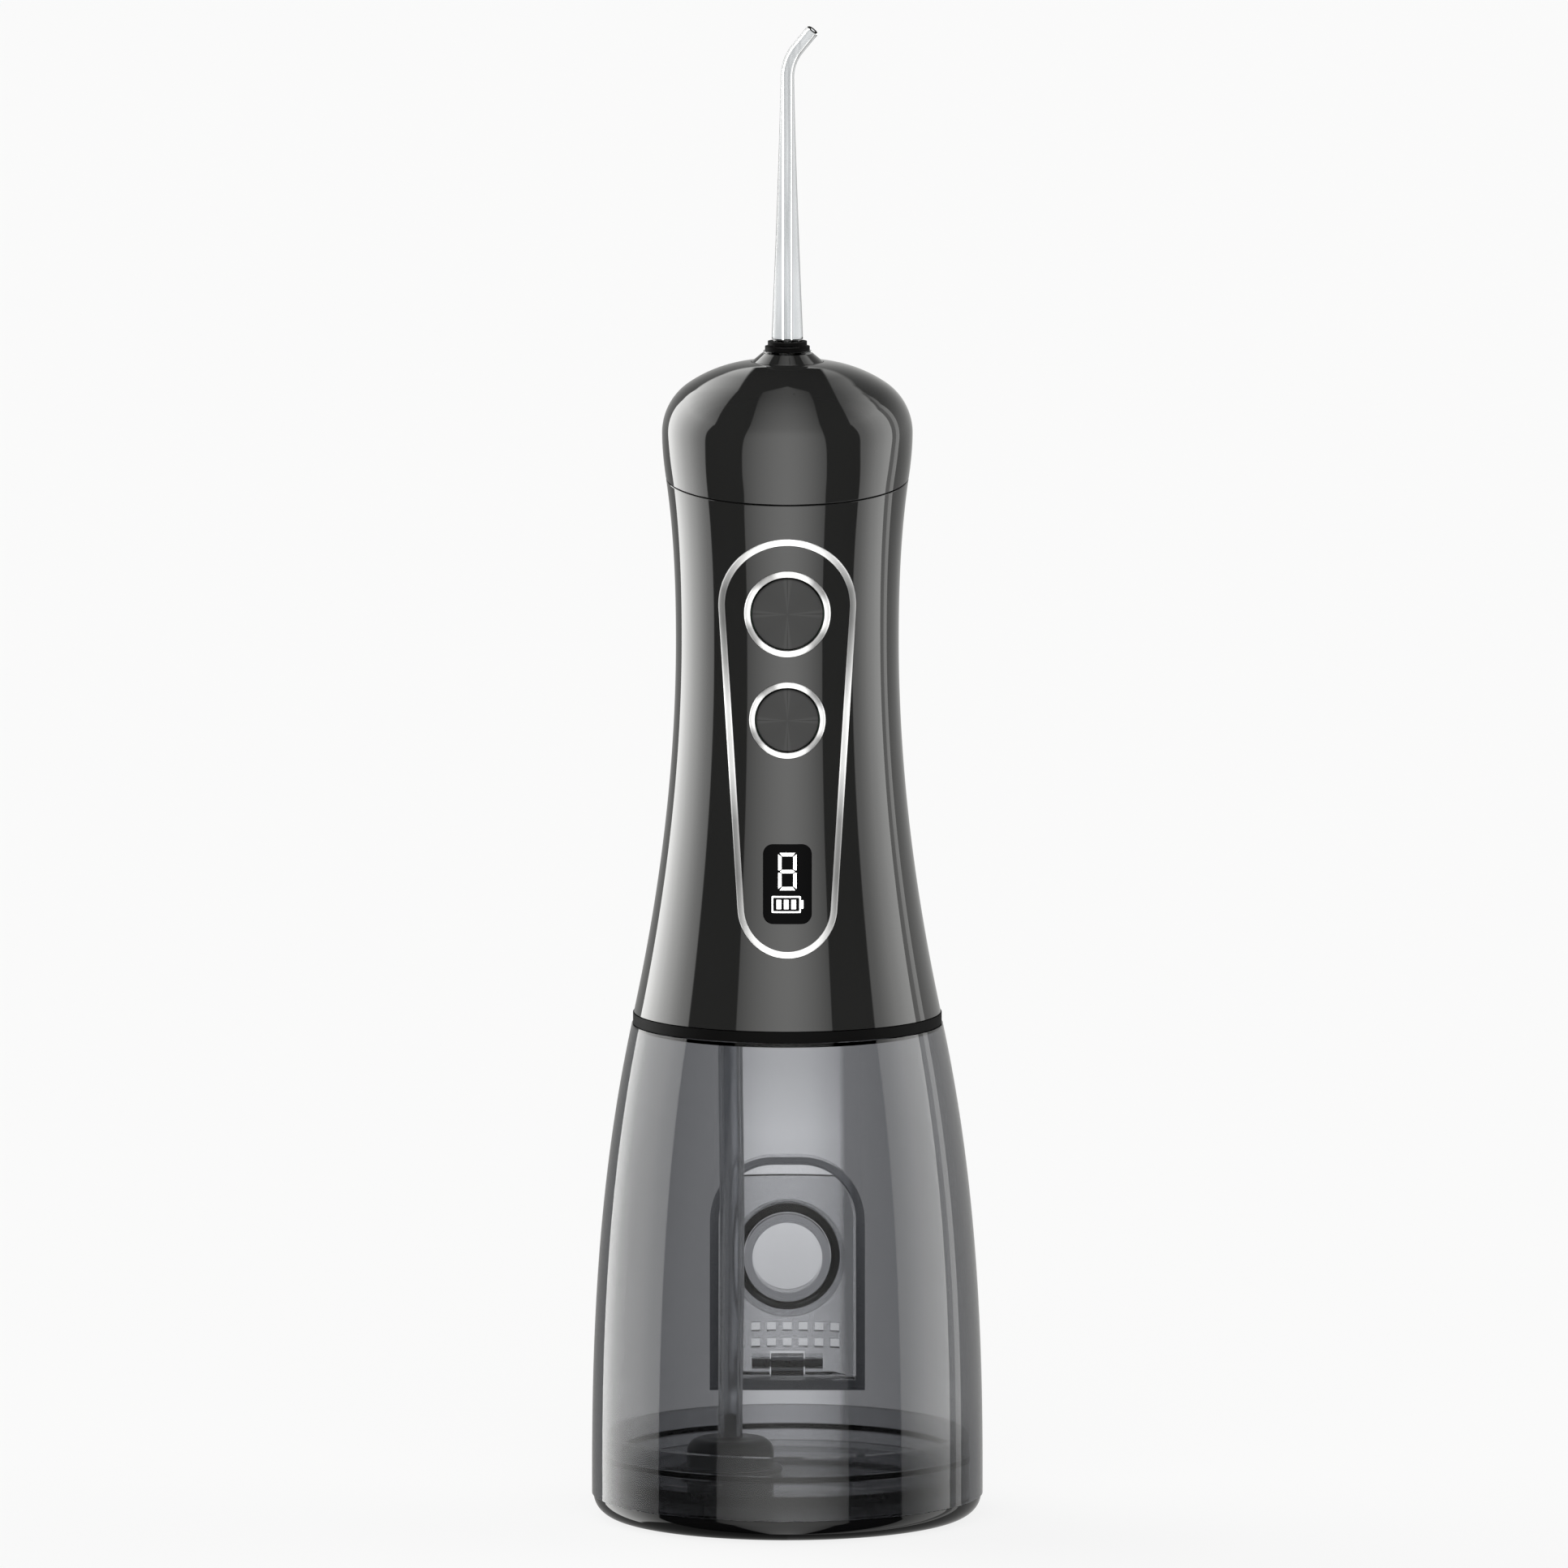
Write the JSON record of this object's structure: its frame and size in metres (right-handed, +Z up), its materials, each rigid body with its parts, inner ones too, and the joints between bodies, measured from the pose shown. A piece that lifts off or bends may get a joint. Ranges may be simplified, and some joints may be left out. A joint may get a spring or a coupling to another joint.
{
  "type": "water flosser",
  "caption": "Cordless water flosser: glossy handle with buttons and display over a clear water tank, with a swivelling clear jet tip.",
  "frame": {"origin": "centre of the foot ring's underside, where the tank stands", "axes": "+Z up along the body's long axis, with the jet tip at the top; -Y is the front with the buttons and the display; +X is the side that the tip's end bends towards"},
  "size_m": [0.07, 0.07, 0.2682],
  "materials": {
    "gloss_black": "glossy black moulded plastic",
    "satin_black": "satin black plastic",
    "dark_plastic": "satin dark grey plastic",
    "smoky_clear": "smoky transparent plastic",
    "dark_clear": "dark smoky transparent plastic",
    "clear_plastic": "clear transparent plastic",
    "milky_tube": "translucent silicone tube",
    "black_rubber": "soft black rubber",
    "chrome_trim": "polished chrome plating",
    "steel": "bare steel",
    "display_glass": "black display window",
    "display_white": "lit white segments",
    "pcb_green": "solder mask",
    "cell_wrap": "shrink-wrapped cell",
    "white_pom": "white acetal",
    "brass": "machined brass"
  },
  "bodies": {
    "tank": {"tank_shell": "smoky_clear", "neck_o_ring": "black_rubber", "tank_bottom_cover": "dark_clear", "bottom_o_ring": "black_rubber", "base_ring": "gloss_black", "foot_ring": "black_rubber", "base_screws": "steel", "door_hinge_pin": "steel"},
    "door": {"refill_door": "smoky_clear", "refill_seal": "black_rubber"},
    "handle": {"handle_shell": "gloss_black", "head_cover": "gloss_black", "joint_ring": "satin_black", "handle_base": "dark_plastic", "inlet_barb": "dark_plastic", "pickup_hose": "milky_tube", "sinker_body": "dark_plastic", "sinker_filter": "steel", "sinker_weight": "steel", "control_panel": "gloss_black", "panel_trim": "chrome_trim", "power_button_ring": "chrome_trim", "mode_button_ring": "chrome_trim", "display_window": "display_glass", "display_segments": "display_white", "display_module": "dark_plastic", "main_pcb": "pcb_green", "tact_switches": "dark_plastic", "battery_cell": "cell_wrap", "chassis": "dark_plastic", "motor_can": "steel", "gearbox_frame": "dark_plastic", "gear_axle": "steel", "pump_barrel": "dark_plastic", "pump_head": "dark_plastic", "check_valves": "steel", "valve_cap": "dark_plastic", "inlet_pipe": "milky_tube", "outlet_hose": "milky_tube", "tip_socket": "dark_plastic", "release_spring": "steel", "usb_port": "steel", "charge_board": "pcb_green"},
    "crank": {"crank_gear": "white_pom"},
    "rotor": {"motor_shaft": "steel", "pinion_gear": "brass"},
    "piston": {"piston": "white_pom", "piston_seal": "black_rubber", "wrist_pin": "steel"},
    "rod": {"connecting_rod": "white_pom"},
    "power_button": {"power_button": "gloss_black"},
    "mode_button": {"mode_button": "gloss_black"},
    "release": {"release_button": "gloss_black", "tip_latch": "white_pom"},
    "swivel": {"swivel_collar": "gloss_black"},
    "jet_tip": {"jet_tip": "clear_plastic", "tip_rings": "satin_black", "tip_o_ring": "black_rubber"},
    "port_cover": {"port_cover": "black_rubber"}
  },
  "joints": [
    {"name": "handle_lift", "type": "slide", "parent": "tank", "child": "handle", "axis": [0, 0, 1], "range_m": [0, 0.1]},
    {"name": "refill_door_hinge", "type": "hinge", "parent": "tank", "child": "door", "pos_m": [0, 0.0322, 0.0228], "axis": [-1, 0, 0], "range_deg": [0, 85]},
    {"name": "crank_spin", "type": "hinge", "parent": "handle", "child": "crank", "pos_m": [0.003, 0.0137, 0.1185], "axis": [0, 1, 0], "continuous": true},
    {"name": "pinion_spin", "type": "hinge", "parent": "handle", "child": "rotor", "pos_m": [0.003, 0.0137, 0.108], "axis": [0, 1, 0], "continuous": true},
    {"name": "piston_stroke", "type": "slide", "parent": "handle", "child": "piston", "axis": [0, 0, 1], "range_m": [0, 0.005]},
    {"name": "rod_swing", "type": "hinge", "parent": "piston", "child": "rod", "pos_m": [0.003, 0.0099, 0.134], "axis": [0, 1, 0], "range_deg": [-8, 8]},
    {"name": "power_press", "type": "slide", "parent": "handle", "child": "power_button", "axis": [0, 1, 0], "range_m": [0, 0.0006], "stiffness_N_per_m": 800},
    {"name": "mode_press", "type": "slide", "parent": "handle", "child": "mode_button", "axis": [0, 1, 0], "range_m": [0, 0.0006], "stiffness_N_per_m": 800},
    {"name": "tip_release", "type": "slide", "parent": "handle", "child": "release", "axis": [0, -1, 0], "range_m": [0, 0.0015], "stiffness_N_per_m": 600, "deforming": ["release_spring"]},
    {"name": "tip_swivel", "type": "hinge", "parent": "handle", "child": "swivel", "pos_m": [0, 0, 0.204], "axis": [0, 0, 1], "continuous": true},
    {"name": "tip_pull", "type": "slide", "parent": "swivel", "child": "jet_tip", "axis": [0, 0, 1], "range_m": [0, 0.03]},
    {"name": "port_cover_hinge", "type": "hinge", "parent": "handle", "child": "port_cover", "pos_m": [0, 0.02495, 0.0996], "axis": [-1, 0, 0], "range_deg": [0, 100]}
  ],
  "couplings": [
    {"joint": "pinion_spin", "follows": "crank_spin", "ratio": -2.5}
  ]
}
